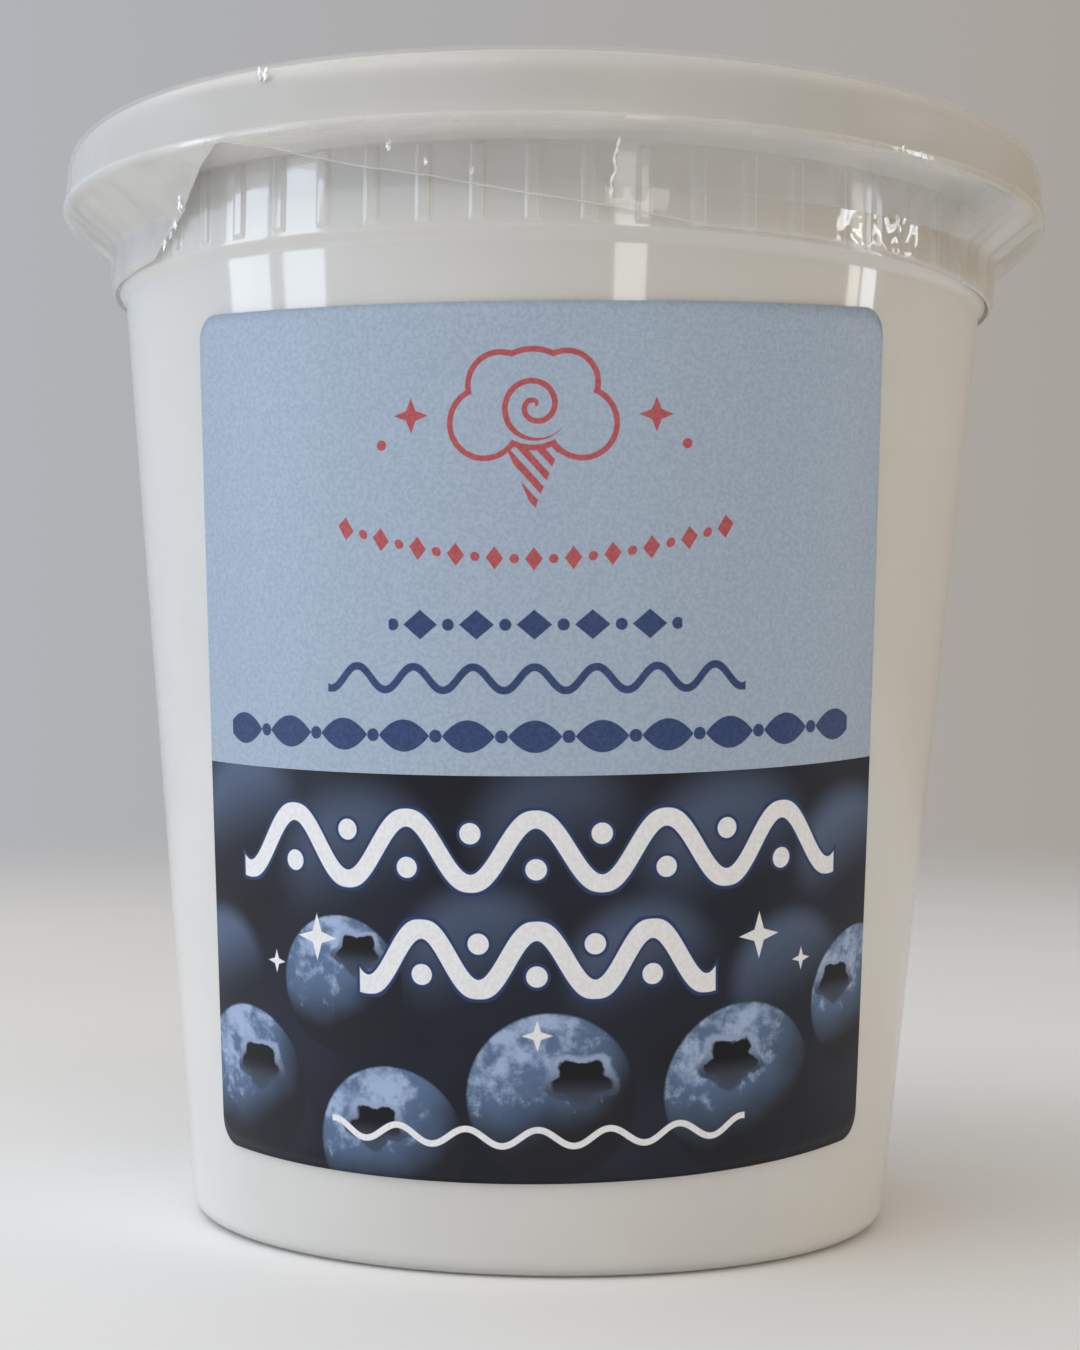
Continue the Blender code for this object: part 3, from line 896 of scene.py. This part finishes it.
def make_candy():
    """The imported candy, from just inside the wall's inner face to the loose top."""
    corner_centre = wall_radius(FOOT_CORNER) - FOOT_CORNER
    inset = WALL - CANDY_REACH
    ring_inside = corner_centre - FOOT_RING
    shoulder = NECK_RADIUS - inset
    profile = rounded([
        (ring_inside - 8, FOOT_RECESS + WALL - CANDY_REACH),
        (ring_inside - FOOT_RECESS, FOOT_RECESS + WALL - CANDY_REACH),
        (ring_inside, inset),
        (corner_centre - 0.5, inset),
    ], 0.5)
    profile += arc(corner_centre, FOOT_CORNER, FOOT_CORNER - inset, -90, -WALL_LEAN, 8)
    profile += [(wall_radius(z) - inset, z) for z in range(6, 111, 4)]
    profile += rounded([
        (wall_radius(110.5) - inset, 110.5),
        (wall_radius(LEDGE_HEIGHT) - inset, LEDGE_HEIGHT + inset / 2),
        (shoulder, NECK_BOTTOM + inset / 2),
        (shoulder, CANDY_SHOULDER - 1.5),
    ], 0.5)
    pitch = 360 / CANDY_COLUMNS
    azimuths = [pitch * k for k in range(CANDY_COLUMNS)]
    rows = [[place(radius, height, azimuth) for azimuth in azimuths] for radius, height in profile]
    rings = [shoulder - 0.3, shoulder - 0.9]
    rings += [shoulder * (1 - k / (CANDY_RINGS + 2)) for k in range(1, CANDY_RINGS + 1)]
    for radius in rings:
        settle = smoothstep(shoulder, shoulder - 2, radius)
        low = CANDY_SHOULDER - 0.8
        rows.append([place(radius, low + (candy_top(radius, a) - low) * settle, a) for a in azimuths])
    add_piece("candy_mass", loft(rows), candy_material(), "cotton_candy")


def within(shape, blur=INK_BLUR):
    """1 where the shape's signed distance is below nothing, 0 outside it."""
    return shape.ramp(blur, -blur)


def disc(x, y, centre, radius):
    return hypot(x - centre[0], y - centre[1]) - radius


def lozenge(x, y, half_width, half_height):
    """Roughly the distance to a diamond round the origin."""
    return (abs(x) / half_width + abs(y) / half_height - 1) * min(half_width, half_height)


def ribbon(x, y, middle, amplitude, period, waves):
    """The distance to a wavy line of this many waves, crest in the middle, with round ends."""
    half_length = period * waves / 2
    slope = 2 * math.pi * amplitude / period
    rise = y - middle - (x + period / 4).wave(period) * amplitude
    turned = x.wave(period) * slope
    nearest = abs(rise) / (turned * turned + 1).root()
    end = (half_length, middle + amplitude * (-1) ** waves)
    return nearest.most(abs(x) - half_length).least(disc(abs(x), y, end, 0))


def ribbon_beads(x, y, middle, amplitude, period, waves):
    """The distance to the points that sit in the ribbon's bends."""
    from_crest = x.from_nearest(period)
    under = disc(from_crest, y, (0, middle - amplitude * BEAD_DROP), 0)
    over = disc(period / 2 - from_crest, y, (0, middle + amplitude * BEAD_DROP), 0)
    return under.least(over).most(abs(x) - period * (waves - 0.5) / 2)


def puff_icon(x, y):
    """Line art of a puff of spun sugar on a paper cone, with a small star on each side."""
    puff = None
    for centre, radius in PUFF_LOBES:
        lobe = disc(x, y, centre, radius)
        puff = lobe if puff is None else puff.least(lobe)
    outline = abs(puff) - ICON_STROKE / 2
    p, q = x - CURL_CENTRE[0], y - CURL_CENTRE[1]
    turns = p.math("ARCTAN2", q, p) / (2 * math.pi)
    from_centre = hypot(p, q)
    curl = (from_centre - turns * CURL_PITCH).from_nearest(CURL_PITCH) - ICON_STROKE / 2
    outline = outline.least(curl.most(from_centre - CURL_RADIUS))
    down = CONE_TOP - y
    side = abs(x) - (1 - down / CONE_DEPTH) * CONE_HALF_WIDTH
    cone = side.most(0 - down).most(down - CONE_DEPTH)
    stripes = (x + y * 0.9).from_nearest(CONE_STRIPE) - ICON_STROKE * 0.7
    filled = cone.most(0 - stripes).most(0 - puff)
    out, above = abs(x) - STAR_OUT, y - STAR_UP
    stars = lozenge(out, above, STAR_ARM, STAR_WAIST).least(lozenge(out, above, STAR_WAIST, STAR_ARM))
    dots = disc(abs(x), y, (STAR_OUT + 3.4, STAR_UP - 3.1), 0.55)
    return outline.least(filled).least(stars).least(dots)


def print_material(name, draw):
    """Satin paper whose print is drawn from places on the flat sheet, in millimetres from its middle."""
    material, tree, shader, _ = new_material(name)
    sheet = tree.nodes.new("ShaderNodeUVMap")
    sheet.uv_map = "sheet"
    across, up, _ = parts(tree, sheet.outputs["UV"])
    x, y = (across - 0.5) * LABEL_HEIGHT, (up - 0.5) * LABEL_HEIGHT
    tree.links.new(draw(tree, x, y, noise_field(tree, 2400, 1)), shader.inputs["Base Color"])
    shader.inputs["Roughness"].default_value = 0.4
    shader.inputs["Specular IOR Level"].default_value = 0.25
    add_bump(tree, shader, noise_field(tree, 1800, 1), 0.01)
    return material


def paper_print(tree, x, y, speckle):
    """The sheet's upper part: light blue with a coral picture and navy ornament."""
    ink = mix_colour(tree, speckle.ramp(0.3, 0.7), PAPER_DARK, PAPER_LIGHT)
    coral = mix_colour(tree, speckle.ramp(0.35, 0.65), CORAL_DARK, CORAL_LIGHT)
    ink = mix_colour(tree, within(puff_icon(x, y)), ink, coral)
    sagging = y - SWAG_HEIGHT - x * x * SWAG_CURVE
    beads = lozenge(x.from_nearest(SWAG_PITCH), sagging, 0.95, 1.25)
    dots = disc(SWAG_PITCH / 2 - x.from_nearest(SWAG_PITCH), sagging, (0, 0), 0.5)
    swag = beads.least(dots).most(abs(x) - SWAG_HALF_LENGTH)
    ink = mix_colour(tree, within(swag), ink, coral)
    navy = mix_colour(tree, speckle.ramp(0.35, 0.65), NAVY_DARK, NAVY_LIGHT)
    return mix_colour(tree, within(navy_border(x, y)), ink, navy)


def picture_print(tree, x, y, speckle):
    """The sheet's lower part: berries under white ribbons and sparkles."""
    ink = fruit_picture(tree, x, y)
    white = mix_colour(tree, speckle.ramp(0.3, 0.7), *PRINTED_WHITES)
    for middle, amplitude, period, waves, width, bead_radius, rim in RIBBONS:
        line = ribbon(x, y, middle, amplitude, period, waves) - width / 2
        if bead_radius:
            line = line.least(ribbon_beads(x, y, middle, amplitude, period, waves) - bead_radius)
        if rim:
            ink = mix_colour(tree, within(line - rim), ink, RIM_BLUE)
        ink = mix_colour(tree, within(line), ink, white)
    for out, height, size in SPARKLES:
        arms = lozenge(abs(x) - out, y - height, size, size * SPARKLE_WAIST)
        sparkle = arms.least(lozenge(abs(x) - out, y - height, size * SPARKLE_WAIST, size))
        ink = mix_colour(tree, within(sparkle), ink, white)
    return ink


def navy_border(x, y):
    """Three rows of navy ornament, the lowest one nearly as wide as the sheet."""
    height, pitch = DIAMOND_ROW
    across = x.from_nearest(pitch)
    diamonds = lozenge(across, y - height, 1.9, 1.6)
    top = diamonds.least(disc(pitch / 2 - across, y - height, (0, 0), 0.65)).most(abs(x) - 16)
    middle = ribbon(x, y, *NAVY_WAVE) - NAVY_WAVE_WIDTH / 2
    height, pitch = LEAF_ROW
    across = x.from_nearest(pitch)
    leaves = abs(y - height) - (1 - across * across / 8.4) * 1.75
    lowest = leaves.least(disc(pitch / 2 - across, y - height, (0, 0), 0.7)).most(abs(x) - 38.2)
    return top.least(middle).least(lowest)


def fruit_picture(tree, x, y):
    """Dusty blue berries in the dark, the far ones out of focus."""
    bloom = noise_field(tree, 420, 4, (1, 1, 1), 0.62)
    patches = noise_field(tree, 150, 2)
    gloom = noise_field(tree, 55, 2).ramp(0.35, 0.75)
    ink = mix_colour(tree, gloom, *SHADOWS)
    for centre, radius, blur, lightness in FAR_BERRIES:
        u, v = (x - centre[0]) / radius, (y - centre[1]) / radius
        spread = hypot(u, v)
        lit = (v * 0.9 - u * 0.35 + 0.55).ramp(0.1, 1.3) * lightness
        colour = mix_colour(tree, lit, *FAR_BERRY_BLUES)
        ink = mix_colour(tree, spread.ramp(1 + blur, 1 - blur), ink, colour)
    for centre, radius, crown, crown_size in NEAR_BERRIES:
        ink = berry(tree, x, y, centre, radius, crown, crown_size, bloom, patches, ink)
    return ink


def berry(tree, x, y, centre, radius, crown, crown_size, bloom, patches, ink):
    """The picture's colour with one berry laid over it. Its crown is a dark hollow inside a ragged rim."""
    u, v = (x - centre[0]) / radius, (y - centre[1]) / radius
    flat = u * u + v * v
    towards = (1 - flat).most(0).root()
    lit = u * BERRY_LIGHT[0] + v * BERRY_LIGHT[1] + towards * BERRY_LIGHT[2]
    lit = lit + (patches - 0.5) * 0.5
    skin = mix_colour(tree, lit.ramp(-0.1, 0.75), *BERRY_SKINS)
    dusted = (lit * 1.1 + (bloom - 0.5) * 2.6).ramp(0.55, 1.25)
    skin = mix_colour(tree, dusted, skin, BERRY_DUST)
    p, q = (u - crown[0]) / crown_size, (v - crown[1]) / (crown_size * 0.72)
    angle = p.math("ARCTAN2", q, p)
    ragged = hypot(p, q) + (angle * 5).math("SINE", angle * 5) * 0.13 + (bloom - 0.5) * 0.7
    rim_light = mix_colour(tree, (q + 0.6).ramp(0, 1.5), *CROWN_RIMS)
    skin = mix_colour(tree, ragged.ramp(1.3, 1.1), skin, rim_light)
    hollow = mix_colour(tree, (0 - q).ramp(-0.2, 0.9), *CROWN_HOLLOWS)
    skin = mix_colour(tree, ragged.ramp(1.0, 0.86), skin, hollow)
    return mix_colour(tree, flat.ramp(1.04, 0.96), ink, skin)


def make_stage():
    """A pale round floor that fades into the backdrop's colour at its rim."""
    bm = bmesh.new()
    bmesh.ops.create_circle(bm, cap_ends=True, segments=128, radius=FLOOR_RADIUS)
    mesh = bpy.data.meshes.new("floor")
    bm.to_mesh(mesh)
    bm.free()
    material, tree, shader, _ = new_material("pale_floor")
    shade = noise_field(tree, 6, 3).ramp(0.3, 0.7)
    tree.links.new(mix_colour(tree, shade, *FLOOR_WHITES), shader.inputs["Base Color"])
    shader.inputs["Roughness"].default_value = 0.6
    where = tree.nodes.new("ShaderNodeTexCoord")
    x, y, _ = parts(tree, where.outputs["Object"])
    solid = hypot(x, y).ramp(FLOOR_FADE, FLOOR_RADIUS, 1.0, 0.0)
    tree.links.new(solid.socket, shader.inputs["Alpha"])
    mesh.materials.append(material)
    floor = bpy.data.objects.new("floor", mesh)
    bpy.context.scene.collection.objects.link(floor)


def add_panel(name, azimuths, elevations, distance, brightness, colour):
    """A soft lamp that faces the tub and spans these azimuths and elevations as the tub sees them."""
    lamp = bpy.data.lights.new(name, "AREA")
    lamp.shape = "RECTANGLE"
    lamp.size = 2 * distance * math.tan(math.radians(azimuths[1] - azimuths[0]) / 2)
    lamp.size_y = 2 * distance * math.tan(math.radians(elevations[1] - elevations[0]) / 2)
    lamp.energy = brightness * math.pi * lamp.size * lamp.size_y
    lamp.color = colour
    panel = bpy.data.objects.new(name, lamp)
    angle, rise = (math.radians(sum(ends) / 2) for ends in (azimuths, elevations))
    way = Vector((math.sin(angle) * math.cos(rise), -math.cos(angle) * math.cos(rise), math.sin(rise)))
    panel.location = Vector(LIT_POINT) + way * distance
    panel.rotation_euler = way.to_track_quat("Z", "Y").to_euler()
    panel.visible_camera = False
    bpy.context.scene.collection.objects.link(panel)


def make_light():
    """The lamps, and a world that is cool on the left and warm on the right."""
    for panel in PANELS:
        add_panel(*panel)
    world = bpy.data.worlds.new("studio")
    world.use_nodes = True
    tree = world.node_tree
    where = tree.nodes.new("ShaderNodeTexCoord")
    rightwards = parts(tree, where.outputs["Generated"])[0] * 0.5 + 0.5
    sky = mix_colour(tree, rightwards, SKY_LEFT, SKY_RIGHT)
    tree.links.new(sky, tree.nodes["Background"].inputs["Color"])
    bpy.context.scene.world = world
    bpy.context.scene.view_settings.view_transform = "Standard"


def make_camera():
    """The camera in the place that the photograph was taken from."""
    sy, cy = math.sin(CAMERA_YAW), math.cos(CAMERA_YAW)
    sp, cp = math.sin(CAMERA_PITCH), math.cos(CAMERA_PITCH)
    ahead = Vector((sy * cp, cy * cp, sp))
    level = Vector((cy, -sy, 0))
    above = Vector((-sy * sp, -cy * sp, cp))
    right = level * math.cos(CAMERA_ROLL) + above * math.sin(CAMERA_ROLL)
    top = above * math.cos(CAMERA_ROLL) - level * math.sin(CAMERA_ROLL)
    data = bpy.data.cameras.new("camera")
    data.sensor_fit = "AUTO"
    data.sensor_width = SENSOR
    data.lens = FOCAL_PIXELS / PHOTO_HEIGHT * SENSOR
    data.clip_start = 0.01
    camera = bpy.data.objects.new("camera", data)
    turn = Matrix((right, top, -ahead)).transposed()
    place_at = Matrix.Translation((0, -CAMERA_DISTANCE * MM, CAMERA_HEIGHT * MM))
    camera.matrix_world = place_at @ turn.to_4x4()
    bpy.context.scene.collection.objects.link(camera)
    bpy.context.scene.camera = camera


make_camera()
make_tub()
make_lid()
make_film()
make_puckers()
make_label()
make_candy()
make_stage()
make_light()
